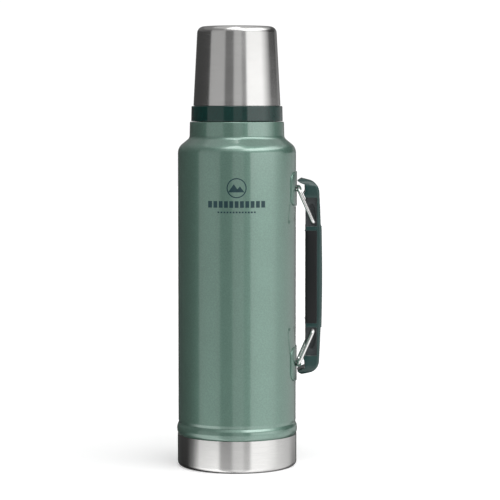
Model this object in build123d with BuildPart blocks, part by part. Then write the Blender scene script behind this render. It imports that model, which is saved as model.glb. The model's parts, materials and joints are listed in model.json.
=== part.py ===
from build123d import *
from math import asin, cos, radians, sin, sqrt
import os

os.makedirs("parts", exist_ok=True)

# Vacuum flask with a screw-on cup, a screw stopper and a pull-out handle on two wire bails.
# Millimetres. +Z is up, the flask's axis is Z, it stands on the plane z = 0,
# and the handle is on the +X side.

# Overall sizes
body_radius = 48.9          # straight side of the steel body
body_height = 286.2         # standing plane to the ledge below the cup
cup_height = 65.6           # steel part of the cup
handle_length = 162.6
handle_width = 32.0

# Fits
glue_gap = 0.05             # between pieces that are bonded or welded
joint_gap = 0.3             # open line above the base cap, and below the cup's steel
seal_gap = 0.1              # around the two sealing rings

# Body: outer shell
shell_wall = 0.8
shoulder_width = 9.8        # body side in to neck side
shoulder_drop = 7.8         # height of the shoulder's slope
shoulder_fillet = 9.4
neck_height = 13.4          # neck side above the shoulder
neck_fillet = 4.8
neck_draft = 0.3
ledge_fillet = 1.0
ledge_corner = 0.9          # inside corner between ledge and mouth tube
rim_height = 22.1           # mouth tube above the ledge
bead_height = 9.8           # rolled bead just above the base
bead_proud = 1.2
bead_dip = 0.25             # slight waist above the bead
bead_blend = 2.45           # waist back out to the straight side
bead_foot = 0.35            # bead's lower edge in from the base cap's side

# Base cap and the plate that closes the vacuum space
base_height = 26.7
base_proud = 0.7
base_wall = 0.8
base_corner = 4.0
base_foot = 10.1            # ring that the flask stands on, with its corner
recess_depth = 2.5
recess_slope = 2.5
recess_fillet = 0.8
foot_fillet = 1.2
base_air = 2.2
plate_wall = 0.8
plate_flange = 4.5
plate_corner = 1.6
dish_rim = 0.4              # fillet at the dish's floor
dish_shoulder = 0.8         # fillet at the dish's top
evacuation_hole = 1.5       # radius
evacuation_boss = 4.0       # outside radius of the dish
evacuation_drop = 0.56      # rounding of the solidified drop

# Inner vessel
vessel_wall = 0.6
vacuum_gap = 4.1            # between the two walls along the body
neck_gap = 2.8              # between the two walls at the mouth
floor_gap = 7.1
floor_corner = 6.0
vessel_shoulder_drop = 20.0
vessel_top_drop = 14.2      # top of the vessel's shoulder below the ledge
seat_drop = 2.2             # sealing seat below the ledge
seat_width = 3.0

# Foil and getter in the vacuum space
foil_wall = 0.15
foil_gap = 0.4
foil_margin = 6.0
getter_radius = 5.0
getter_height = 2.6
getter_offset = 18.0
strap_thickness = 0.5
strap_width = 6.0
strap_length = 17.0

# Cup thread: two starts, right hand
cup_lead = 9.0
cup_starts = 2
cup_thread_turns = 0.75
cup_thread_depth = 1.5
cup_thread_width = 2.4
cup_thread_rise = 4.8       # ring's ridges start this far above the ledge
thread_crest = 1.0
thread_clearance = 0.35
thread_sink = 0.3           # how far a ridge is rooted in its wall
ring_wall = 1.45
ring_height = 16.8
ring_edge = 0.5

# Cup: collar, steel shell, liner and seal
collar_gap = 0.3
collar_height = 12.6
collar_setback = 1.2        # collar in from the neck side
collar_draft = 0.3
collar_edge = 0.7
spigot_height = 7.4
spigot_wall = 1.4
cup_setback = 1.6           # steel side in from the collar
cup_wall = 0.6
cup_draft = 3.38
cup_dome = 0.65
cup_corner = 5.5
liner_gap = 2.05
liner_wall = 1.2
liner_corner = 4.0
liner_top_gap = 3.7
seal_height = 1.0

# Stopper: one start, right hand
stopper_lead = 5.0
stopper_thread_turns = 2.0
stopper_thread_depth = 1.3
stopper_thread_width = 2.2
stopper_wall = 6.3
stopper_floor = 2.2
gasket_height = 3.0
gasket_edge = 0.6
gasket_lip = 0.9
gasket_lip_wall = 0.8
spigot_inset = 4.9          # stopper's lower spigot in from its threaded core
pour_slot_width = 7.0
pour_slot_depth = 2.4
cap_gap = 0.4               # stopper's cap above the rim
cap_flange = 2.7
cap_overhang = 0.7          # flange in from the mouth tube's side
cap_height = 27.1
cap_inset = 2.5
cap_wall = 2.2
cap_edge = 2.5
cap_scallops = 10
cap_scallop_radius = 6.0
cap_scallop_depth = 0.9

# Handle
handle_rise = 7.65          # handle's middle above the middle of the straight side
finger_gap = 8.1            # body to grip with the handle pushed in
core_depth = 9.0
core_side = 4.0             # side pockets, and the pad's side walls
core_gap = 0.2
pad_wall = 3.0
pad_wrap = 0.8              # how far the pad stops short of the core's back
pad_lip = 0.4
pad_lip_height = 1.6
pad_edge = 1.2
ear_height = 3.3
ear_clearance = 1.8         # wire to ear, handle pushed in
back_wall = 3.9
back_bow = 1.9              # how much the back bows out over its length
panel_proud = 0.5
back_fillet = 2.4
end_corner = 8.0            # handle's ends, rounded as seen from outside
shoulder_radius = 10.2
shoulder_inset = 4.0        # back's sloped corner, down from the handle's end
shoulder_room = 8.16        # straight run that the shoulder's fillet takes up
pocket_inset = 15.8         # side pockets end this far from the handle's end
tooth_depth = 1.9
tooth_inset = 12.7
lip_corner_depth = 3.3      # from lip's tip out to its top corner
lip_tip_drop = 2.4
lip_tip = 1.9
lip_wall = 3.8
hook_step = 0.6             # hooked blocks stand this far nearer the body than the grip
lip_corner = 1.5
lip_gap = 0.5               # lip's tip to bracket

# Wire bails and their brackets
wire_radius = 1.5
wire_gap = 0.4              # wire to body, and wire to its slot's sides
bail_width = 28.0           # between the two legs' centre lines
bail_reach = 12.2           # crossbar out to the pins, handle pushed in
bail_drop = 27.6            # crossbar along to the pins, handle pushed in
bail_corner = 4.0
pin_bend = 2.5
pin_reach = 3.5             # how far each pin goes into the handle's core
slot_depth = 4.0
knuckle_inset = 8.7
handle_travel = 16.0
bail_swing = 38.0           # degrees that each bail turns over the handle's travel
bracket_wall = 0.8
bracket_height = 28.0
bracket_width = 42.0
bracket_corner = 8.0
knuckle_wall = 0.95
knuckle_clearance = 0.15
knuckle_length = 18.0

# Heights that several pieces share
shoulder_z = body_height - neck_height - shoulder_drop
bead_top = base_height + bead_height
rim_z = body_height + rim_height
rim_top = rim_z + vessel_wall
seat_z = body_height - seat_drop
plate_z = recess_depth + base_wall + base_air
plate_top = plate_z + plate_wall
floor_z = plate_top + floor_gap
vessel_joint_z = floor_z + vessel_wall + floor_corner
vessel_shoulder_z = body_height - vessel_top_drop - vessel_shoulder_drop
collar_z = body_height + collar_gap
collar_top = collar_z + collar_height
spigot_top = collar_top + spigot_height
cup_z = collar_top + joint_gap
flask_height = cup_z + cup_height
handle_z = (bead_top + shoulder_z) / 2 + handle_rise

# Radii, from the outside in
neck_radius = body_radius - shoulder_width
base_radius = body_radius + base_proud
seat_radius = base_radius - base_wall - glue_gap
vessel_radius = body_radius - shell_wall - vacuum_gap
collar_radius = neck_radius - collar_setback
cup_radius = collar_radius - collar_draft - cup_setback


def cup_side(z):
    # Outside radius of the tapered steel cup at height z.
    return cup_radius - cup_draft * (z - cup_z) / (cup_height - cup_dome)


collar_root = cup_side(spigot_top) - cup_wall - glue_gap - spigot_wall
ring_crest = collar_root - thread_clearance
ring_root = ring_crest - cup_thread_depth
ring_bore = ring_root - ring_wall
mouth_tube = ring_bore - glue_gap
mouth_radius = mouth_tube - shell_wall - neck_gap - vessel_wall
throat_radius = mouth_radius - seat_width
mouth_crest = mouth_radius - stopper_thread_depth
stopper_radius = mouth_crest - thread_clearance

# Depths out from the axis on the handle's side
knuckle_x = body_radius + wire_gap + wire_radius
face_x = body_radius + finger_gap
core_back = face_x + core_depth
back_x = core_back + back_wall
lip_x = body_radius + bracket_wall + lip_gap


def thread_ridge(wall_radius, crest_radius, base_width, lead, turns, start_z):
    # One helical ridge standing on a round wall, towards crest_radius. A right-hand helix.
    outward = 1 if crest_radius > wall_radius else -1
    root_radius = wall_radius - outward * thread_sink
    slope = (base_width - thread_crest) / 2
    root_half = base_width / 2 + slope * thread_sink / abs(crest_radius - wall_radius)
    with BuildPart() as ridge:
        with BuildLine(Plane.XY.offset(start_z)):
            Helix(pitch=lead, height=lead * turns, radius=root_radius)
        with BuildSketch(Plane.XZ.shift_origin((0, 0, start_z))):
            with BuildLine():
                Polyline(
                    (root_radius, -root_half),
                    (crest_radius, -thread_crest / 2),
                    (crest_radius, thread_crest / 2),
                    (root_radius, root_half),
                    close=True,
                )
            make_face()
        sweep(is_frenet=True)
    return ridge.part


def save(part, name):
    part.label = name
    export_step(part, "parts/" + name + ".step")


# Outer shell: one drawn steel tube from the base to the rim of the mouth
with BuildPart() as outer_shell:
    with BuildSketch(Plane.XZ):
        with BuildLine():
            foot = Polyline(
                (seat_radius, plate_z),
                (seat_radius, base_height + joint_gap),
                (base_radius - bead_foot, base_height + 2 * joint_gap),
            )
            bead = ThreePointArc(
                foot @ 1,
                (body_radius + bead_proud, base_height + bead_height / 2),
                (body_radius - bead_dip, bead_top),
            )
            FilletPolyline(
                bead @ 1,
                (body_radius, bead_top + bead_blend),
                (body_radius, shoulder_z),
                (neck_radius + neck_draft / 2, body_height - neck_height),
                (neck_radius - neck_draft / 2, body_height),
                (mouth_tube, body_height),
                (mouth_tube, rim_z),
                radius=[bead_height, shoulder_fillet, neck_fillet, ledge_fillet, ledge_corner],
            )
            offset(amount=shell_wall, side=Side.LEFT)
        make_face()
    revolve(axis=Axis.Z)
save(outer_shell.part, "outer_shell")

# Base cap: brushed cup over the shell's lower end, with a recessed middle
with BuildPart() as base_cap:
    with BuildSketch(Plane.XZ):
        with BuildLine():
            FilletPolyline(
                (0, recess_depth),
                (base_radius - base_foot - recess_slope, recess_depth),
                (base_radius - base_foot, 0),
                (base_radius, 0),
                (base_radius, base_height),
                radius=[recess_fillet, foot_fillet, base_corner],
            )
            offset(amount=base_wall, side=Side.LEFT)
        make_face()
    revolve(axis=Axis.Z)
save(base_cap.part, "base_cap")

# Vacuum plate: closes the outer shell, with a dished hole where the air is drawn out
plate_radius = seat_radius - shell_wall - glue_gap
with BuildPart() as vacuum_plate:
    with BuildSketch(Plane.XZ):
        with BuildLine():
            FilletPolyline(
                (evacuation_hole, plate_z + plate_wall),
                (evacuation_boss, plate_z + plate_wall),
                (evacuation_boss + plate_wall, plate_z),
                (plate_radius, plate_z),
                (plate_radius, plate_z + plate_flange),
                radius=[dish_rim, dish_shoulder, plate_corner],
            )
            offset(amount=plate_wall, side=Side.LEFT)
        make_face()
    revolve(axis=Axis.Z)
save(vacuum_plate.part, "vacuum_plate")

# Sealing bead: a solidified drop in the dish, over the evacuation hole
with BuildPart() as evacuation_seal:
    with BuildSketch(Plane.XY.offset(plate_top - glue_gap)):
        Circle(evacuation_boss - plate_wall - glue_gap)
    extrude(amount=-plate_wall)
    fillet(evacuation_seal.edges().sort_by(Axis.Z)[0], evacuation_drop)
save(evacuation_seal.part, "evacuation_seal")

# Inner vessel: wet wall, with the stopper's seat and thread in its neck
stopper_thread_z = seat_z + gasket_height + stopper_thread_width + stopper_lead / 2
with BuildPart() as inner_vessel:
    with BuildSketch(Plane.XZ):
        with BuildLine():
            FilletPolyline(
                (vessel_radius - vessel_wall, vessel_joint_z),
                (vessel_radius - vessel_wall, vessel_shoulder_z),
                (throat_radius, body_height - vessel_top_drop),
                (throat_radius, seat_z),
                (mouth_radius, seat_z),
                (mouth_radius, rim_top),
                (mouth_tube, rim_top),
                radius=[shoulder_fillet, neck_fillet, vessel_wall, vessel_wall, vessel_wall],
            )
            offset(amount=vessel_wall, side=Side.RIGHT)
        make_face()
    revolve(axis=Axis.Z)
    add(thread_ridge(mouth_radius, mouth_crest, stopper_thread_width, stopper_lead,
                     stopper_thread_turns, stopper_thread_z))
save(inner_vessel.part, "inner_vessel")

# Vessel floor: dished disc butted to the vessel's wall
with BuildPart() as vessel_floor:
    with BuildSketch(Plane.XZ):
        with BuildLine():
            FilletPolyline(
                (0, floor_z),
                (vessel_radius, floor_z),
                (vessel_radius, vessel_joint_z),
                radius=floor_corner,
            )
            offset(amount=vessel_wall, side=Side.LEFT)
        make_face()
    revolve(axis=Axis.Z)
save(vessel_floor.part, "vessel_floor")

# Reflector foil: thin sleeve wrapped around the inner vessel
with BuildPart() as reflector_foil:
    with BuildSketch(Plane.XY.offset(vessel_joint_z)):
        Circle(vessel_radius + foil_gap + foil_wall)
        Circle(vessel_radius + foil_gap, mode=Mode.SUBTRACT)
    extrude(amount=vessel_shoulder_z - foil_margin - vessel_joint_z)
save(reflector_foil.part, "reflector_foil")

# Getter: pressed pellet that takes up stray gas, under a strap welded to the plate
with BuildPart() as getter_pellet:
    with BuildSketch(Plane.XY.offset(plate_top + glue_gap)):
        with Locations((getter_offset, 0)):
            Circle(getter_radius)
    extrude(amount=getter_height)
save(getter_pellet.part, "getter_pellet")

strap_foot = plate_top + glue_gap
strap_span = 2 * (getter_radius + glue_gap)
strap_rise = getter_height + glue_gap
with BuildPart() as getter_strap:
    with BuildSketch(Plane.XZ):
        with Locations((getter_offset, strap_foot)):
            Rectangle(strap_length, strap_thickness, align=(Align.CENTER, Align.MIN))
            Rectangle(strap_span + 2 * strap_thickness, strap_rise + strap_thickness,
                      align=(Align.CENTER, Align.MIN))
            Rectangle(strap_span, strap_rise, align=(Align.CENTER, Align.MIN), mode=Mode.SUBTRACT)
    extrude(amount=strap_width / 2, both=True)
save(getter_strap.part, "getter_strap")

# Neck ring: plastic ring on the ledge, with the cup's outside thread
ring_thread_z = body_height + cup_thread_rise
with BuildPart() as neck_ring:
    with BuildSketch(Plane.XY.offset(body_height + glue_gap)):
        Circle(ring_root)
        Circle(ring_bore, mode=Mode.SUBTRACT)
    extrude(amount=ring_height)
    chamfer(neck_ring.faces().sort_by(Axis.Z)[-1].edges(), ring_edge)
    bore_rim = neck_ring.faces().sort_by(Axis.Z)[0].edges().sort_by(SortBy.RADIUS)[0]
    chamfer(bore_rim, ledge_corner + glue_gap)
    ring_ridge = thread_ridge(ring_root, ring_crest, cup_thread_width, cup_lead,
                              cup_thread_turns, ring_thread_z)
    with PolarLocations(0, cup_starts):
        add(ring_ridge)
save(neck_ring.part, "neck_ring")

# Cup collar: dark ring below the steel, with a spigot inside it and the cup's inside thread
collar_thread_z = ring_thread_z - cup_lead / cup_starts / 2
with BuildPart() as cup_collar:
    with BuildSketch(Plane.XZ):
        with BuildLine():
            Polyline(
                (collar_root, collar_z),
                (collar_radius, collar_z),
                (collar_radius - collar_draft, collar_top),
                (cup_side(cup_z) - cup_wall - glue_gap, collar_top),
                (cup_side(spigot_top) - cup_wall - glue_gap, spigot_top),
                (collar_root, spigot_top),
                close=True,
            )
        make_face()
    revolve(axis=Axis.Z)
    outer_rims = cup_collar.edges().filter_by(GeomType.CIRCLE).group_by(SortBy.RADIUS)[-2:]
    fillet(outer_rims[0] + outer_rims[1], collar_edge)
    collar_ridge = thread_ridge(collar_root, collar_root - cup_thread_depth, cup_thread_width,
                                cup_lead, cup_thread_turns, collar_thread_z)
    with PolarLocations(0, cup_starts):
        add(collar_ridge)
save(cup_collar.part, "cup_collar")

# Cup shell: brushed steel, tapered, with a rounded and slightly domed top
cup_top_radius = cup_radius - cup_draft
dome_radius = (cup_top_radius ** 2 + cup_dome ** 2) / (2 * cup_dome)
with BuildPart() as cup_shell:
    with BuildSketch(Plane.XZ) as cup_profile:
        with BuildLine():
            Polyline(
                (0, flask_height),
                (0, cup_z),
                (cup_radius, cup_z),
                (cup_top_radius, flask_height - cup_dome),
            )
            RadiusArc((0, flask_height), (cup_top_radius, flask_height - cup_dome), dome_radius)
        make_face()
        fillet(cup_profile.vertices().group_by(Axis.X)[1].sort_by(Axis.Y)[-1], cup_corner)
    revolve(axis=Axis.Z)
    offset(amount=-cup_wall, openings=cup_shell.faces().sort_by(Axis.Z)[0])
save(cup_shell.part, "cup_shell")

# Cup liner: inner cup that one drinks from, with a flange down on the sealing ring
liner_z = spigot_top + seal_height + 2 * seal_gap
liner_top = flask_height - cup_dome - cup_wall - liner_top_gap
liner_inset = cup_wall + liner_gap
with BuildPart() as cup_liner:
    with BuildSketch(Plane.XZ):
        with BuildLine():
            FilletPolyline(
                (cup_side(liner_z) - liner_inset, liner_z),
                (cup_side(liner_top) - liner_inset, liner_top),
                (0, liner_top),
                radius=liner_corner,
            )
            offset(amount=liner_wall, side=Side.LEFT)
        make_face()
    revolve(axis=Axis.Z)
    with BuildSketch(Plane.XY.offset(liner_z)):
        Circle(cup_side(liner_z + liner_wall) - cup_wall - glue_gap)
        Circle(cup_side(liner_z) - liner_inset - liner_wall / 2, mode=Mode.SUBTRACT)
    extrude(amount=liner_wall)
save(cup_liner.part, "cup_liner")

# Cup seal: flat ring between the collar's spigot and the liner's flange
with BuildPart() as cup_seal:
    with BuildSketch(Plane.XY.offset(spigot_top + seal_gap)):
        Circle(cup_side(liner_z) - cup_wall - seal_gap)
        Circle(collar_root + seal_gap, mode=Mode.SUBTRACT)
    extrude(amount=seal_height)
save(cup_seal.part, "cup_seal")

# Stopper body: threaded core, hollow for insulation, with a spigot that holds the gasket
gasket_z = seat_z + seal_gap
core_z = gasket_z + gasket_height + seal_gap
spigot_radius = stopper_radius - spigot_inset
lip_z = gasket_z - seal_gap - gasket_lip_wall
cap_z = rim_top + cap_gap
core_bore = stopper_radius - stopper_wall
with BuildPart() as stopper_body:
    with BuildSketch(Plane.XZ):
        with BuildLine():
            Polyline(
                (0, lip_z),
                (spigot_radius + gasket_lip, lip_z),
                (spigot_radius + gasket_lip, lip_z + gasket_lip_wall),
                (spigot_radius, lip_z + gasket_lip_wall),
                (spigot_radius, core_z),
                (stopper_radius, core_z),
                (stopper_radius, cap_z),
                (core_bore, cap_z),
                (core_bore, lip_z + stopper_floor),
                (0, lip_z + stopper_floor),
                close=True,
            )
        make_face()
    revolve(axis=Axis.Z)
    add(thread_ridge(stopper_radius, stopper_radius + stopper_thread_depth, stopper_thread_width,
                     stopper_lead, stopper_thread_turns, stopper_thread_z - stopper_lead / 2))
    with BuildSketch(Plane.XY.offset(core_z)):
        with PolarLocations(stopper_radius + stopper_thread_depth, 2, start_angle=90):
            Rectangle(2 * (pour_slot_depth + stopper_thread_depth), pour_slot_width)
    extrude(amount=cap_z - core_z - cap_gap, mode=Mode.SUBTRACT)
save(stopper_body.part, "stopper_body")

# Stopper cap: flange over the rim and a scalloped knob, hollow underneath
cap_radius = mouth_tube - cap_overhang
grip_radius = cap_radius - cap_inset
cap_top = cap_z + cap_height
with BuildPart() as stopper_cap:
    with BuildSketch(Plane.XY.offset(cap_z)):
        Circle(cap_radius)
    extrude(amount=cap_flange)
    with BuildSketch(Plane.XY.offset(cap_z)):
        Circle(grip_radius)
    extrude(amount=cap_height)
    fillet(stopper_cap.faces().sort_by(Axis.Z)[-1].edges(), cap_edge)
    with BuildSketch(Plane.XY.offset(cap_z + cap_flange)):
        with PolarLocations(grip_radius + cap_scallop_radius - cap_scallop_depth, cap_scallops):
            Circle(cap_scallop_radius)
    extrude(amount=cap_height, mode=Mode.SUBTRACT)
    with BuildSketch(Plane.XY.offset(cap_z + cap_wall)):
        Circle(grip_radius - cap_wall - cap_scallop_depth)
    extrude(amount=cap_height - 2 * cap_wall, mode=Mode.SUBTRACT)
    with BuildSketch(Plane.XY.offset(cap_z)):
        Circle(core_bore)
    extrude(amount=cap_wall, mode=Mode.SUBTRACT)
save(stopper_cap.part, "stopper_cap")

# Stopper insulation: foam that fills the core and the knob
with BuildPart() as stopper_foam:
    with BuildSketch(Plane.XY.offset(lip_z + stopper_floor + glue_gap)):
        Circle(core_bore - glue_gap)
    extrude(amount=cap_z + cap_wall - lip_z - stopper_floor)
    with BuildSketch(Plane.XY.offset(cap_z + cap_wall + glue_gap)):
        Circle(grip_radius - cap_wall - cap_scallop_depth - glue_gap)
    extrude(amount=cap_height - 2 * cap_wall - 2 * glue_gap)
save(stopper_foam.part, "stopper_foam")

# Stopper gasket: ring that seals on the seat in the vessel's neck
with BuildPart() as stopper_gasket:
    with BuildSketch(Plane.XY.offset(gasket_z)):
        Circle(stopper_radius)
        Circle(spigot_radius + seal_gap, mode=Mode.SUBTRACT)
    extrude(amount=gasket_height)
    outer_rims = stopper_gasket.edges().filter_by(GeomType.CIRCLE).group_by(SortBy.RADIUS)[-1]
    fillet(outer_rims, gasket_edge)
save(stopper_gasket.part, "stopper_gasket")

# Handle pieces share a plane through the flask's axis, level with the handle's middle.
# On it, x is the distance from the axis and y the height from the handle's middle.
handle_plane = Plane(origin=(0, 0, handle_z), x_dir=(1, 0, 0), z_dir=(0, -1, 0))
handle_half = handle_length / 2
side_y = handle_width / 2
core_y = side_y - core_side
pocket_half = handle_half - pocket_inset
knuckle_half = handle_half - knuckle_inset
pin_half = knuckle_half - bail_drop
ear_half = pin_half - wire_radius - ear_clearance
pad_half = ear_half - ear_height
bail_length = sqrt(bail_reach ** 2 + bail_drop ** 2)
bail_angle = asin(bail_reach / bail_length)

# Handle shell: painted back with a hooked block at each end and ears beside the grip
with BuildPart() as back_panel:
    with BuildSketch(handle_plane):
        with BuildLine():
            panel_x = back_x - back_bow * (ear_half / handle_half) ** 2 + panel_proud
            ThreePointArc((panel_x, -ear_half), (back_x + panel_proud, 0), (panel_x, ear_half))
            Polyline(
                (panel_x, ear_half),
                (core_back, ear_half),
                (core_back, -ear_half),
                (panel_x, -ear_half),
            )
        make_face()
    extrude(amount=side_y, both=True)
    fillet(back_panel.edges().filter_by(GeomType.CIRCLE), back_fillet)

with BuildPart() as handle_shell:
    with BuildSketch(handle_plane):
        with BuildLine():
            corner_x = back_x - back_bow
            bend_y = handle_half - shoulder_inset - shoulder_room
            ThreePointArc((corner_x, -bend_y), (back_x, 0), (corner_x, bend_y))
            top = FilletPolyline(
                (corner_x, bend_y),
                (corner_x, handle_half - shoulder_inset),
                (lip_x + lip_corner_depth, handle_half),
                radius=shoulder_radius,
            )
            hook = Polyline(
                top @ 1,
                (lip_x, handle_half - lip_tip_drop),
                (lip_x + lip_tip, handle_half - lip_wall),
                (face_x - hook_step, handle_half - lip_wall - lip_corner),
                (face_x - hook_step, handle_half - tooth_inset + tooth_depth),
                (face_x - tooth_depth, handle_half - tooth_inset),
                (face_x - hook_step, pocket_half),
                (core_back, pocket_half),
                (core_back, 0),
            )
            mirror(top, about=Plane.XZ)
            mirror(hook, about=Plane.XZ)
        make_face()
    extrude(amount=side_y, both=True)
    side_faces = handle_shell.faces().filter_by(Axis.Y)
    round_edges = side_faces.edges().filter_by(GeomType.CIRCLE)
    fillet(round_edges, back_fillet)
    with BuildSketch(Plane.YZ.shift_origin((0, 0, handle_z))):
        RectangleRounded(handle_width, handle_length, end_corner)
    extrude(amount=back_x + back_wall, mode=Mode.INTERSECT)
    add(back_panel.part)
    with BuildSketch(handle_plane.offset(core_y)):
        with Locations((face_x + core_depth / 2, ear_half - ear_height / 2),
                       (face_x + core_depth / 2, ear_height / 2 - ear_half)):
            Rectangle(core_depth, ear_height)
    ears = extrude(amount=core_side)
    mirror(ears, about=Plane.XZ)
save(handle_shell.part, "handle_shell")


def pin_place(pulled):
    # Where a bail's pin stands on the handle's plane, with the handle pulled out this far.
    angle = bail_angle + radians(bail_swing) * pulled / handle_travel
    return (knuckle_x + bail_length * sin(angle) - pulled, knuckle_half - bail_length * cos(angle))


# Handle core: black web inside the shell, grooved on both sides for the bails' pins
groove = ThreePointArc(pin_place(0), pin_place(handle_travel / 2), pin_place(handle_travel))
with BuildPart() as handle_core:
    with BuildSketch(handle_plane):
        with Locations((face_x + core_depth / 2, 0)):
            Rectangle(core_depth - 2 * glue_gap, 2 * (pocket_half - core_gap))
        with Locations((face_x + pad_wall / 2, 0)):
            Rectangle(pad_wall, 2 * pad_half, mode=Mode.SUBTRACT)
    extrude(amount=core_y, both=True)
    with BuildSketch(handle_plane.offset(core_y - slot_depth)):
        SlotArc(groove, 2 * (wire_radius + wire_gap))
        mirror(about=Plane.XZ)
    slots = extrude(amount=slot_depth, mode=Mode.SUBTRACT)
    mirror(slots, about=Plane.XZ, mode=Mode.SUBTRACT)
save(handle_core.part, "handle_core")

# Grip pad: rubber wrapped round the front and sides of the core, with a raised lip at each end
with BuildPart() as grip_pad:
    with BuildSketch(handle_plane):
        with Locations((face_x + (core_depth - pad_wrap) / 2, 0)):
            Rectangle(core_depth - pad_wrap, 2 * pad_half - 2 * glue_gap)
    extrude(amount=side_y, both=True)
    front_edges = grip_pad.edges().filter_by(Axis.Z).group_by(Axis.X)[0]
    fillet(front_edges, pad_edge)
    with BuildSketch(handle_plane):
        with Locations((face_x + pad_lip_height / 2 - pad_lip, pad_half - pad_lip_height),
                       (face_x + pad_lip_height / 2 - pad_lip, pad_lip_height - pad_half)):
            Circle(pad_lip_height / 2)
    extrude(amount=side_y - pad_edge, both=True)
    with BuildSketch(handle_plane):
        with Locations((core_back, 0)):
            Rectangle(2 * (core_depth - pad_wall + glue_gap), 2 * pad_half)
    extrude(amount=core_y + glue_gap, both=True, mode=Mode.SUBTRACT)
save(grip_pad.part, "grip_pad")


def make_bail(end):
    # One bail, end +1 for the upper or -1 for the lower. Its wire runs in one plane, from pin
    # to leg to crossbar and back, with the crossbar as the plane's y axis.
    leg_way = Vector(sin(bail_angle), 0, -end * cos(bail_angle))
    crossbar = Vector(knuckle_x, 0, handle_z + end * knuckle_half)
    wire_plane = Plane(origin=crossbar, x_dir=leg_way, z_dir=leg_way.cross(Vector(0, 1, 0)))
    half_width = bail_width / 2
    pin_y = core_y - pin_reach
    with BuildPart() as bail:
        with BuildLine(wire_plane) as route:
            FilletPolyline(
                (bail_length, pin_y),
                (bail_length, half_width),
                (0, half_width),
                (0, -half_width),
                (bail_length, -half_width),
                (bail_length, -pin_y),
                radius=[pin_bend, bail_corner, bail_corner, pin_bend],
            )
        with BuildSketch(Plane(origin=route.line @ 0, z_dir=route.line % 0)):
            Circle(wire_radius)
        sweep(path=route.line)
    return bail.part


save(make_bail(1), "upper_bail")
save(make_bail(-1), "lower_bail")


def make_bracket(end):
    # Curved plate on the body with an arched knuckle that the bail's crossbar turns in.
    middle = Vector(0, 0, handle_z + end * knuckle_half)
    face = Plane(origin=middle, x_dir=(0, 1, 0), z_dir=(1, 0, 0))
    side = Plane(origin=middle, x_dir=(1, 0, 0), z_dir=(0, -1, 0))
    knuckle_radius = wire_radius + knuckle_clearance + knuckle_wall
    bore_radius = wire_radius + knuckle_clearance
    inside = body_radius + glue_gap
    with BuildPart() as bracket:
        with BuildSketch(face):
            RectangleRounded(bracket_width, bracket_height, bracket_corner)
        extrude(amount=body_radius + bracket_wall)
        with BuildSketch(Plane.XY.offset(middle.Z)):
            Circle(inside + bracket_wall)
        extrude(amount=bracket_height, both=True, mode=Mode.INTERSECT)
        with BuildSketch(side):
            with Locations((knuckle_x, 0)):
                Circle(knuckle_radius)
        extrude(amount=knuckle_length / 2, both=True)
        with BuildSketch(side):
            with Locations((knuckle_x, 0)):
                Circle(bore_radius)
            with Locations((knuckle_x / 2, 0)):
                Rectangle(knuckle_x, 2 * bore_radius)
        extrude(amount=knuckle_length / 2, both=True, mode=Mode.SUBTRACT)
        with BuildSketch(Plane.XY.offset(middle.Z)):
            Circle(inside)
        extrude(amount=bracket_height, both=True, mode=Mode.SUBTRACT)
    return bracket.part


save(make_bracket(1), "upper_bracket")
save(make_bracket(-1), "lower_bracket")
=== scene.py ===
import bpy
import json
import math
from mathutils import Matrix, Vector


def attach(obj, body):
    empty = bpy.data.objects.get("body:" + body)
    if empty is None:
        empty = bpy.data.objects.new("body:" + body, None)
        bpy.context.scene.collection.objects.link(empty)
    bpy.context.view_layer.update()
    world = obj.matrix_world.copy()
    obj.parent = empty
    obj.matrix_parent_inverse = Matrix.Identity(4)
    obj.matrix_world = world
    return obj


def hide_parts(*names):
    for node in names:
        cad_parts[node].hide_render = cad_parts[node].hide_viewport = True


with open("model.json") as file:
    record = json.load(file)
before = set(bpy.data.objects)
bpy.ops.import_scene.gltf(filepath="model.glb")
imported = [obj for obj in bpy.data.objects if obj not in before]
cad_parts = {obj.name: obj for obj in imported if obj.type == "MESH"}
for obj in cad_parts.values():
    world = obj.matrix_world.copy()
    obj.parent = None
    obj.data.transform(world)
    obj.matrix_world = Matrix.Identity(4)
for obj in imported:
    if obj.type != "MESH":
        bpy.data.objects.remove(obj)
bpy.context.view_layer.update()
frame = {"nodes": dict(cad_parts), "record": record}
nodes = frame["nodes"]
mm = 0.001


# ---- small helpers for node trees ----

def newMaterial(name):
    mat = bpy.data.materials.new(name)
    mat.use_nodes = True
    shader = mat.node_tree.nodes["Principled BSDF"]
    return mat, mat.node_tree, shader


def addNode(tree, kind, **values):
    node = tree.nodes.new(kind)
    for key, value in values.items():
        setattr(node, key, value)
    return node


def objectPoints(tree, scale=(1, 1, 1)):
    # object coordinates, stretched so that a pattern can run along or round the flask
    coords = addNode(tree, "ShaderNodeTexCoord")
    mapping = addNode(tree, "ShaderNodeMapping")
    mapping.inputs["Scale"].default_value = scale
    tree.links.new(coords.outputs["Object"], mapping.inputs["Vector"])
    return mapping.outputs["Vector"]


def noise(tree, vector, scale, detail=2.0, rough=0.5):
    node = addNode(tree, "ShaderNodeTexNoise")
    node.inputs["Scale"].default_value = scale
    node.inputs["Detail"].default_value = detail
    node.inputs["Roughness"].default_value = rough
    tree.links.new(vector, node.inputs["Vector"])
    return node.outputs["Fac"]


def cells(tree, vector, scale, softness):
    node = addNode(tree, "ShaderNodeTexVoronoi", feature="SMOOTH_F1")
    node.inputs["Scale"].default_value = scale
    node.inputs["Smoothness"].default_value = softness
    tree.links.new(vector, node.inputs["Vector"])
    return node.outputs["Distance"]


def ramp(tree, factor, stops):
    node = addNode(tree, "ShaderNodeValToRGB")
    while len(node.color_ramp.elements) < len(stops):
        node.color_ramp.elements.new(0.5)
    for element, (place, colour) in zip(node.color_ramp.elements, stops):
        element.position = place
        element.color = (*colour, 1)
    tree.links.new(factor, node.inputs["Fac"])
    return node.outputs["Color"]


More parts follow.
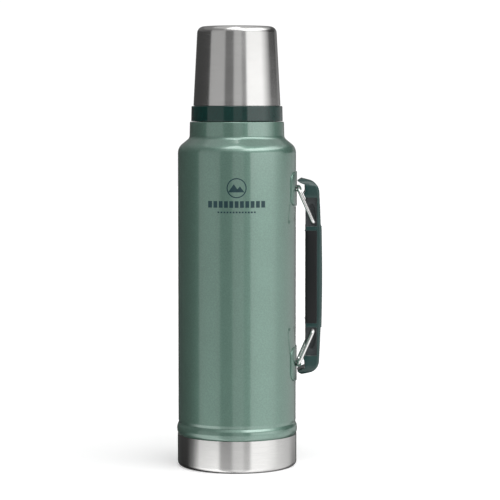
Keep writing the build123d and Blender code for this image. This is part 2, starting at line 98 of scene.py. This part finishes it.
def spread(tree, factor, low, high, fromLow=0.3, fromHigh=0.7):
    # turns the middle of a pattern's range into low..high
    node = addNode(tree, "ShaderNodeMapRange")
    node.inputs["From Min"].default_value = fromLow
    node.inputs["From Max"].default_value = fromHigh
    node.inputs["To Min"].default_value = low
    node.inputs["To Max"].default_value = high
    tree.links.new(factor, node.inputs["Value"])
    return node.outputs["Result"]


def mixValue(tree, a, b, share):
    node = addNode(tree, "ShaderNodeMix", data_type="FLOAT")
    node.inputs["Factor"].default_value = share
    tree.links.new(a, node.inputs["A"])
    tree.links.new(b, node.inputs["B"])
    return node.outputs["Result"]


def bump(tree, shader, height, strength, distance, socket="Normal"):
    node = addNode(tree, "ShaderNodeBump")
    node.inputs["Strength"].default_value = strength
    node.inputs["Distance"].default_value = distance
    tree.links.new(height, node.inputs["Height"])
    tree.links.new(node.outputs["Normal"], shader.inputs[socket])


def shades(colour, *factors):
    return [tuple(min(1.0, c * f) for c in colour) for f in factors]


# ---- materials ----

hammerPaint = {
    "colour": (0.117, 0.220, 0.175),
    "dark": 0.90, "light": 1.12,             # painted shade in the dimples' hollows and painted highlight on their crests, with the flakes' and patches' own tone
    "fleck": 900.0, "fleckSoftness": 0.6,    # hammered dimples, per metre
    "grain": 2900.0, "grainShare": 0.62,     # metal flakes between them
    "patch": 55.0, "patchShare": 0.15,       # slow change of tone over the body
    "roughness": (0.30, 0.42), "metallic": 0.6,
    "relief": (0.16, 0.0001), "coatRelief": (0.03, 0.00005),     # strength, height in metres
    "coat": 1.0, "coatIor": 1.8, "coatRoughness": 0.05,
}


def makeHammerPaint(name, values):
    mat, tree, shader = newMaterial(name)
    points = objectPoints(tree)
    flecks = cells(tree, points, values["fleck"], values["fleckSoftness"])
    grain = noise(tree, points, values["grain"], detail=3.0, rough=0.65)
    patches = noise(tree, points, values["patch"])
    dimpleShadeAndMottle = mixValue(tree, flecks, grain, values["grainShare"])
    dimpleShadeAndMottle = mixValue(tree, dimpleShadeAndMottle, patches, values["patchShare"])
    dark, light = shades(values["colour"], values["dark"], values["light"])
    # colour follows the dimple heights: painted shade darkens the hollows and painted highlight lightens
    # the crests; flakes and patches add their own random tone
    tree.links.new(ramp(tree, dimpleShadeAndMottle, [(0.34, dark), (0.62, light)]), shader.inputs["Base Color"])
    tree.links.new(spread(tree, grain, *values["roughness"]), shader.inputs["Roughness"])
    shader.inputs["Metallic"].default_value = values["metallic"]
    shader.inputs["Coat Weight"].default_value = values["coat"]
    shader.inputs["Coat IOR"].default_value = values["coatIor"]
    shader.inputs["Coat Roughness"].default_value = values["coatRoughness"]
    bump(tree, shader, dimpleShadeAndMottle, *values["relief"])
    bump(tree, shader, flecks, *values["coatRelief"], "Coat Normal")
    return mat


brushedSteel = {
    "colour": (0.66, 0.655, 0.645), "dark": 0.86, "light": 1.0,
    "roughness": 0.20,
    "stretch": 0.8, "turn": 0.25,    # brush lines run round the flask, so gloss spreads up and down
    "lines": (70, 70, 5200),         # brush lines per metre, across and up
    "smears": (25, 25, 60), "smearShare": 0.4,
    "relief": 0.05,
}


def makeBrushedSteel(name, values):
    mat, tree, shader = newMaterial(name)
    lines = noise(tree, objectPoints(tree, values["lines"]), 1.0, detail=3.0, rough=0.7)
    smears = noise(tree, objectPoints(tree, values["smears"]), 1.0)
    dark, light = shades(values["colour"], values["dark"], values["light"])
    tree.links.new(ramp(tree, lines, [(0.3, dark), (0.7, light)]), shader.inputs["Base Color"])
    rough = mixValue(tree, lines, smears, values["smearShare"])
    low, high = values["roughness"] - 0.04, values["roughness"] + 0.05
    tree.links.new(spread(tree, rough, low, high), shader.inputs["Roughness"])
    shader.inputs["Metallic"].default_value = 1.0
    shader.inputs["Anisotropic"].default_value = values["stretch"]
    shader.inputs["Anisotropic Rotation"].default_value = values["turn"]
    tangent = addNode(tree, "ShaderNodeTangent", direction_type="RADIAL", axis="Z")
    tree.links.new(tangent.outputs["Tangent"], shader.inputs["Tangent"])
    bump(tree, shader, lines, values["relief"], 0.0001)
    return mat


def makePlainSteel(name, colour, roughness, grain=900.0, depth=0.04):
    # drawn or rolled metal with fine scratches
    mat, tree, shader = newMaterial(name)
    scratches = noise(tree, objectPoints(tree), grain, detail=4.0, rough=0.7)
    dark, light = shades(colour, 0.9, 1.03)
    tree.links.new(ramp(tree, scratches, [(0.3, dark), (0.7, light)]), shader.inputs["Base Color"])
    low, high = roughness - 0.03, roughness + 0.04
    tree.links.new(spread(tree, scratches, low, high), shader.inputs["Roughness"])
    shader.inputs["Metallic"].default_value = 1.0
    bump(tree, shader, scratches, depth, 0.00005)
    return mat


def makePlastic(name, values):
    # moulded plastic or rubber: fine spark-eroded grain, a little mottling, some gloss
    mat, tree, shader = newMaterial(name)
    points = objectPoints(tree)
    grain = noise(tree, points, values["grain"], detail=3.0, rough=0.6)
    tone = mixValue(tree, grain, noise(tree, points, 60.0), 0.5)
    dark, light = shades(values["colour"], 0.85, 1.15)
    tree.links.new(ramp(tree, tone, [(0.35, dark), (0.65, light)]), shader.inputs["Base Color"])
    low, high = values["roughness"] - 0.05, values["roughness"] + 0.05
    tree.links.new(spread(tree, tone, low, high), shader.inputs["Roughness"])
    shader.inputs["Specular IOR Level"].default_value = values.get("specular", 0.5)
    shader.inputs["Coat Weight"].default_value = values.get("coat", 0.0)
    shader.inputs["Coat IOR"].default_value = values.get("coatIor", 1.5)
    shader.inputs["Coat Roughness"].default_value = values.get("coatRoughness", 0.1)
    bump(tree, shader, grain, values["depth"], 0.0001)
    return mat


greenPaint = makeHammerPaint("hammeredGreen", hammerPaint)
bracketPaint = makeHammerPaint("bracketGreen", {**hammerPaint, "coatIor": 1.5, "coatRoughness": 0.2})
cupSteel = makeBrushedSteel("brushedSteel", brushedSteel)
linerSteel = makeBrushedSteel("spunSteel", {
    **brushedSteel, "roughness": 0.3, "stretch": 0.5, "relief": 0.03})
wireSteel = makePlainSteel("wireSteel", (0.74, 0.74, 0.73), 0.24, 300.0, 0.005)
foilSteel = makePlainSteel("foil", (0.8, 0.8, 0.8), 0.2)
getterGrey = makePlainSteel("getterGrey", (0.18, 0.18, 0.19), 0.6)
solderDrop = makePlainSteel("solderDrop", (0.5, 0.5, 0.52), 0.35)
ringPlastic = makePlastic("ringGreen", {
    "colour": (0.0006, 0.024, 0.020), "roughness": 0.3, "grain": 900.0, "depth": 0.02,
    "specular": 0.1, "coat": 1.0, "coatIor": 1.52, "coatRoughness": 0.05})
handlePaint = makePlastic("handleGreen", {
    "colour": (0.005, 0.036, 0.033), "roughness": 0.38, "grain": 1500.0, "depth": 0.03,
    "specular": 0.35, "coat": 0.5, "coatRoughness": 0.08})
coreBlack = makePlastic("coreBlack", {
    "colour": (0.034, 0.042, 0.045), "roughness": 0.5, "grain": 1700.0, "depth": 0.08})
padRubber = makePlastic("padRubber", {
    "colour": (0.003, 0.0045, 0.005), "roughness": 0.42, "grain": 2200.0, "depth": 0.1,
    "specular": 0.3})
silicone = makePlastic("silicone", {
    "colour": (0.42, 0.43, 0.42), "roughness": 0.45, "grain": 1200.0, "depth": 0.05})
foam = makePlastic("foam", {"colour": (0.6, 0.58, 0.5), "roughness": 0.9, "grain": 700.0, "depth": 0.5})
inkTeal = makePlastic("inkTeal", {
    "colour": (0.006, 0.034, 0.040), "roughness": 0.45, "grain": 2400.0, "depth": 0.02,
    "specular": 0.3, "coat": 0.3, "coatRoughness": 0.1})

finishes = {
    "green_paint": greenPaint, "bracket_paint": bracketPaint, "brushed_steel": cupSteel,
    "plain_steel": linerSteel, "green_plastic": ringPlastic, "handle_paint": handlePaint,
    "black_plastic": coreBlack, "rubber": padRubber, "wire": wireSteel, "silicone": silicone,
    "foam": foam, "foil": foilSteel, "getter": getterGrey, "solder": solderDrop,
}
slotOf = {part["node"]: part["material_slot"] for part in frame["record"]["subparts"]}
bodyMembers = frame["record"]["behaviour"]["bodies"]
bodyOf = {node: body for body, members in bodyMembers.items() for node in members}
for name, node in nodes.items():
    node.data.materials.clear()
    node.data.materials.append(finishes[slotOf[name]])
print("materials done")


# ---- modelling helpers ----

def startPiece(name, adder, **values):
    # everything is deselected before a primitive is added and named
    bpy.ops.object.select_all(action="DESELECT")
    adder(**values)
    piece = bpy.context.object
    piece.name = name
    return piece


def arcCorner(before, corner, after, radius):
    # points of a tangent arc round one corner of an outline
    toBefore, toAfter = (before - corner).normalized(), (after - corner).normalized()
    half = toBefore.angle(toAfter) / 2
    reach = radius / math.tan(half)
    centre = corner + (toBefore + toAfter).normalized() * radius / math.sin(half)
    first, last = corner + toBefore * reach - centre, corner + toAfter * reach - centre
    turn = math.pi - 2 * half
    steps = max(3, math.ceil(math.degrees(turn) / 7.5))      # a point every 7.5 degrees or less
    points = []
    for i in range(steps + 1):
        fromFirst, fromLast = math.sin(turn * (1 - i / steps)), math.sin(turn * i / steps)
        points.append(centre + (first * fromFirst + last * fromLast) / math.sin(turn))
    return points


def outline(corners):
    # corners are (radius, height, fillet) in millimetres; gives points in the plane y = 0
    places = [Vector((x * mm, 0, z * mm)) for x, z, _ in corners]
    points = []
    for i, (place, (_, _, fillet)) in enumerate(zip(places, corners)):
        if fillet:
            points += arcCorner(places[i - 1], place, places[i + 1], fillet * mm)
        else:
            points.append(place)
    return points


def lathe(name, corners, wall, steps=192):
    # one vertex is extruded along the outline, then spun round the flask's axis
    points = outline(corners)
    piece = startPiece(name, bpy.ops.mesh.primitive_plane_add, size=mm)
    bpy.ops.object.mode_set(mode="EDIT")
    bpy.ops.mesh.merge(type="CENTER")
    bpy.ops.transform.translate(value=points[0])
    for start, end in zip(points, points[1:]):
        bpy.ops.mesh.extrude_region_move(TRANSFORM_OT_translate={"value": end - start})
    bpy.ops.mesh.select_all(action="SELECT")
    bpy.ops.mesh.spin(steps=steps, angle=2 * math.pi, center=(0, 0, 0), axis=(0, 0, 1))
    bpy.ops.mesh.select_all(action="SELECT")
    bpy.ops.mesh.remove_doubles(threshold=0.005 * mm)
    bpy.ops.mesh.normals_make_consistent(inside=False)
    bpy.ops.object.mode_set(mode="OBJECT")
    thicken = piece.modifiers.new("wall", "SOLIDIFY")
    thicken.thickness = wall * mm
    thicken.offset = -1
    thicken.use_even_offset = True
    bpy.ops.object.modifier_apply(modifier=thicken.name)
    return piece


refining = {"weld": 0.002, "flat": 0.5, "corner": 35}     # millimetres, degrees, degrees


def refine(nodeName, pieceName, edge, segments=2):
    # a merged copy of a CAD piece, with its flat faces whole again and its edges slightly rounded
    bpy.ops.object.select_all(action="DESELECT")
    node = nodes[nodeName]
    node.hide_set(False)
    node.select_set(True)
    bpy.context.view_layer.objects.active = node
    bpy.ops.object.duplicate()
    piece = bpy.context.object
    piece.name = pieceName
    bpy.ops.object.mode_set(mode="EDIT")
    bpy.ops.mesh.select_all(action="SELECT")
    bpy.ops.mesh.customdata_custom_splitnormals_clear()
    bpy.ops.mesh.remove_doubles(threshold=refining["weld"] * mm)
    bpy.ops.mesh.dissolve_limited(angle_limit=math.radians(refining["flat"]))
    bpy.ops.object.mode_set(mode="OBJECT")
    bevel = piece.modifiers.new("edges", "BEVEL")
    bevel.width = edge * mm
    bevel.segments = segments
    bevel.limit_method = "ANGLE"
    bevel.angle_limit = math.radians(refining["corner"])
    bpy.ops.object.modifier_apply(modifier=bevel.name)
    finishPiece(piece, slotOf[nodeName], bodyOf[nodeName], nodeName)


def finishPiece(piece, slot, body, replaced=None, sharp=30, material=None):
    # place and turn go into the mesh, then the finish and the body are set
    bpy.ops.object.select_all(action="DESELECT")
    piece.select_set(True)
    bpy.context.view_layer.objects.active = piece
    bpy.ops.object.transform_apply(location=True, rotation=True, scale=True)
    bpy.ops.object.shade_smooth_by_angle(angle=math.radians(sharp))
    piece.data.materials.clear()
    piece.data.materials.append(material or finishes[slot])
    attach(piece, body)
    if replaced:
        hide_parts(replaced)


# ---- body, base and cup ----

bodyShell = {
    "wall": 0.8,
    "corners": [(48.75, 5.5, 0), (48.75, 27.0, 0), (49.25, 27.3, 0), (49.9, 29.2, 2.5), (50.1, 31.6, 6),
                (49.75, 34.2, 4), (48.65, 36.5, 1.5), (48.9, 38.95, 2), (48.9, 264.98, 9.4),
                (39.25, 272.8, 4.8), (38.95, 286.2, 1.0), (30.1, 286.2, 0.9), (30.1, 308.3, 0)],
}
piece = lathe("bodyShell", bodyShell["corners"], bodyShell["wall"])
finishPiece(piece, "green_paint", "root", "outer_shell", 50)

baseCap = {
    "wall": 0.8,
    "corners": [(0, 2.5, 0), (37.0, 2.5, 0.8), (39.5, 0, 1.2), (49.6, 0, 4.0), (49.6, 26.7, 0)],
}
piece = lathe("baseCap", baseCap["corners"], baseCap["wall"])
finishPiece(piece, "brushed_steel", "root", "base_cap", 50)

cupShell = {
    "wall": 0.6,
    "corners": [(36.0, 299.4, 0), (32.62, 364.35, 5.5), (16.4, 364.84, 60), (0, 365.0, 0)],
}
piece = lathe("cupShell", cupShell["corners"], cupShell["wall"])
finishPiece(piece, "brushed_steel", "cup", "cup_shell", 50)
print("body, base and cup done")


# ---- handle, brackets and bails ----

refine("handle_shell", "handleShell", edge=0.45, segments=3)
refine("handle_core", "handleCore", edge=0.25)
refine("grip_pad", "gripPad", edge=0.3)
refine("upper_bracket", "upperBracket", edge=0.2)
refine("lower_bracket", "lowerBracket", edge=0.2)
for name in ("handleShell", "handleCore", "gripPad"):
    bpy.data.objects[name].visible_glossy = False      # the paint's gloss shows the panels, not the grip
print("handle done")


# ---- printed emblem: peaks in a ring over a row of blocks and a row of dashes ----

emblem = {
    "front": -48.9,          # the body's side that faces the viewer
    "ring": 8.1, "ringLine": 0.9, "ringHeight": 233.0,
    "peaks": [(-2.3, 229.6, 5.4, 6.6), (2.6, 229.6, 4.4, 4.9)],
    "rows": {
        "block": {"count": 11, "width": 3.1, "thickness": 5.4, "pitch": 4.3, "height": 219.8, "grid": 4},
        "dash": {"count": 13, "width": 1.5, "thickness": 1.3, "pitch": 2.45, "height": 213.4, "grid": 2},
    },
    "standOff": 6.0,         # how far in front of the body each shape is made
    "proud": 0.02,
}


def inkShape(name, kind, width, height, across, along, cuts=0, **values):
    # one flat shape of ink standing in front of the body, width by height, cut up so it can curve
    shape = startPiece(name, kind, rotation=(math.pi / 2, 0, 0), **values,
                       location=(across * mm, (emblem["front"] - emblem["standOff"]) * mm, along * mm))
    shape.scale = (width * mm, height * mm, 1)
    bpy.ops.object.transform_apply(location=True, rotation=True, scale=True)
    if cuts:
        bpy.ops.object.mode_set(mode="EDIT")
        bpy.ops.mesh.select_all(action="SELECT")
        bpy.ops.mesh.subdivide(number_cuts=cuts)
        bpy.ops.object.mode_set(mode="OBJECT")
    return shape


inks = []
ring = inkShape("emblemRing", bpy.ops.mesh.primitive_circle_add, emblem["ring"], emblem["ring"], 0,
                emblem["ringHeight"], radius=1, vertices=72, fill_type="NGON")
bpy.ops.object.mode_set(mode="EDIT")
bpy.ops.mesh.select_all(action="SELECT")
bpy.ops.mesh.inset(thickness=emblem["ringLine"] * mm)
bpy.ops.mesh.delete(type="FACE")
bpy.ops.object.mode_set(mode="OBJECT")
inks.append(ring)
for i, (across, foot, half, height) in enumerate(emblem["peaks"]):
    peak = inkShape(f"emblemPeak{i}", bpy.ops.mesh.primitive_circle_add, half, height / 1.5, across,
                    foot + height / 3, cuts=4, radius=1, vertices=3, fill_type="TRIFAN")
    inks.append(peak)
for rowName, row in emblem["rows"].items():
    for i in range(row["count"]):
        across = (i - (row["count"] - 1) / 2) * row["pitch"]
        inks.append(inkShape(f"emblem{rowName}{i}", bpy.ops.mesh.primitive_grid_add, row["width"],
                             row["thickness"], across, row["height"], size=1,
                             x_subdivisions=row["grid"], y_subdivisions=row["grid"]))
bpy.ops.object.select_all(action="DESELECT")
for shape in inks:
    shape.select_set(True)
bpy.context.view_layer.objects.active = inks[0]
bpy.ops.object.join()
mark = bpy.context.object
mark.name = "frontPrint"
wrap = mark.modifiers.new("wrap", "SHRINKWRAP")
wrap.target = bpy.data.objects["bodyShell"]
wrap.wrap_method = "PROJECT"
wrap.use_project_y = True
wrap.use_positive_direction = True
wrap.use_negative_direction = False
wrap.offset = emblem["proud"] * mm
bpy.ops.object.modifier_apply(modifier=wrap.name)
bpy.ops.object.mode_set(mode="EDIT")
bpy.ops.mesh.select_all(action="SELECT")
bpy.ops.mesh.normals_make_consistent(inside=False)
bpy.ops.object.mode_set(mode="OBJECT")
finishPiece(mark, "green_paint", "root", material=inkTeal)
print("front print done")


# ---- camera, floor and light ----

camera = {"place": (0.0108, -1.747, 0.300), "tilt": 86.06, "lens": 151.7, "reach": 50.0}
bpy.ops.object.select_all(action="DESELECT")
bpy.ops.object.camera_add(location=camera["place"], rotation=(math.radians(camera["tilt"]), 0, 0))
bpy.context.scene.camera = bpy.context.object
bpy.context.object.data.lens = camera["lens"]
bpy.context.object.data.clip_end = camera["reach"]
bpy.context.scene.view_settings.view_transform = "Standard"

floor = {"size": 12.0, "colour": (0.9, 0.9, 0.9), "roughness": 0.8, "specular": 0.1, "glow": 0.25}
floorPlane = startPiece("floor", bpy.ops.mesh.primitive_plane_add, size=floor["size"])
floorPlane.visible_glossy = False      # gloss shows the panels' lower ends in its place
mat, tree, shader = newMaterial("floorWhite")
shader.inputs["Base Color"].default_value = (*floor["colour"], 1)
shader.inputs["Roughness"].default_value = floor["roughness"]
shader.inputs["Specular IOR Level"].default_value = floor["specular"]
shader.inputs["Emission Color"].default_value = (1, 1, 1, 1)
shader.inputs["Emission Strength"].default_value = floor["glow"]
floorPlane.data.materials.append(mat)

# soft panels round the flask: (bearing in degrees, brightness), joined by straight blends;
# bearing 0 is in front and grows towards the handle's side
studio = {
    "upper": [(-180, 0.20), (-161, 0.20), (-158, 0.07), (-81, 0.07), (-78, 0.57), (-35, 0.57),
              (-31, 0.19), (-10, 0.19), (-7, 0.63), (12, 0.63), (15, 0.33), (25, 0.33), (28, 1.9),
              (72, 1.9), (107, 0.04), (139, 0.04), (144, 0.24), (180, 0.20)],
    "lower": [(-180, 0.10), (-158, 0.06), (-81, 0.06), (-78, 0.57), (-35, 0.57), (-31, 0.19),
              (-10, 0.19), (-7, 0.63), (12, 0.63), (15, 0.36), (25, 0.36), (28, 1.2), (78, 1.15),
              (86, 0.85), (118, 0.75), (150, 0.45), (165, 0.10), (180, 0.10)],
    "ground": [(-180, 0.08), (-135, 0.02), (-112, 0.04), (-96, 0.45), (-82, 1.5), (-38, 1.9),
               (-32, 0.86), (-12, 0.78), (-8, 1.1), (10, 1.25), (15, 1.0), (24, 1.0), (28, 1.65),
               (60, 1.6), (80, 1.15), (104, 1.0), (122, 0.8), (140, 0.12), (180, 0.10)],
    "high": [(-180, 0.2), (-81, 0.12), (-78, 0.5), (-35, 0.5), (-31, 0.17), (-10, 0.17), (-7, 0.55),
             (12, 0.55), (15, 0.33), (25, 0.33), (28, 0.75), (72, 0.75), (107, 0.06), (139, 0.06),
             (180, 0.2)],
    "ceiling": [(-180, 0.3), (-50, 0.3), (-20, 0.8), (8, 1.2), (22, 4.0), (60, 4.0), (100, 2.4),
                (125, 0.6), (180, 0.3)],
    "zenith": [(-180, 0.7), (-50, 0.7), (-30, 3.6), (14, 3.6), (30, 0.7), (180, 0.7)],
    # each ring of panels takes over from the one before between two heights of a unit sphere
    "bands": {"lower": (0.06, -0.02), "ground": (-0.17, -0.21), "high": (0.17, 0.24),
              "ceiling": (0.42, 0.56), "zenith": (0.74, 0.84)},
    "backdrop": 1.05,
}


def bearingWalls(tree, parts, panels):
    # one ring of panels: its brightness by bearing
    flip = addNode(tree, "ShaderNodeMath", operation="MULTIPLY")
    flip.inputs[1].default_value = -1
    tree.links.new(parts.outputs["Y"], flip.inputs[0])
    bearing = addNode(tree, "ShaderNodeMath", operation="ARCTAN2")
    tree.links.new(parts.outputs["X"], bearing.inputs[0])
    tree.links.new(flip.outputs["Value"], bearing.inputs[1])
    turn = spread(tree, bearing.outputs["Value"], 0, 1, -math.pi, math.pi)
    return ramp(tree, turn, [((degrees + 180) / 360, (level,) * 3) for degrees, level in panels])


def blendColour(tree, factor, a, b):
    # a and b are sockets or plain levels
    node = addNode(tree, "ShaderNodeMix", data_type="RGBA")
    tree.links.new(factor, node.inputs["Factor"])
    for socket, value in (("A", a), ("B", b)):
        if isinstance(value, float):
            node.inputs[socket].default_value = (value, value, value, 1)
        else:
            tree.links.new(value, node.inputs[socket])
    return node.outputs["Result"]


def lightStudio(values):
    world = bpy.data.worlds.new("studio")
    bpy.context.scene.world = world
    world.use_nodes = True
    tree = world.node_tree
    coords = addNode(tree, "ShaderNodeTexCoord")
    parts = addNode(tree, "ShaderNodeSeparateXYZ")
    tree.links.new(coords.outputs["Generated"], parts.inputs["Vector"])
    light = bearingWalls(tree, parts, values["upper"])
    for band, (start, end) in values["bands"].items():
        rise = addNode(tree, "ShaderNodeMapRange", interpolation_type="SMOOTHSTEP")
        rise.inputs["From Min"].default_value = start
        rise.inputs["From Max"].default_value = end
        tree.links.new(parts.outputs["Z"], rise.inputs["Value"])
        light = blendColour(tree, rise.outputs["Result"], light, bearingWalls(tree, parts, values[band]))
    # the plain backdrop is what is seen directly, the panels are what the gloss shows
    path = addNode(tree, "ShaderNodeLightPath")
    light = blendColour(tree, path.outputs["Is Camera Ray"], light, values["backdrop"])
    tree.links.new(light, tree.nodes["Background"].inputs["Color"])


lightStudio(studio)
print("stage done")
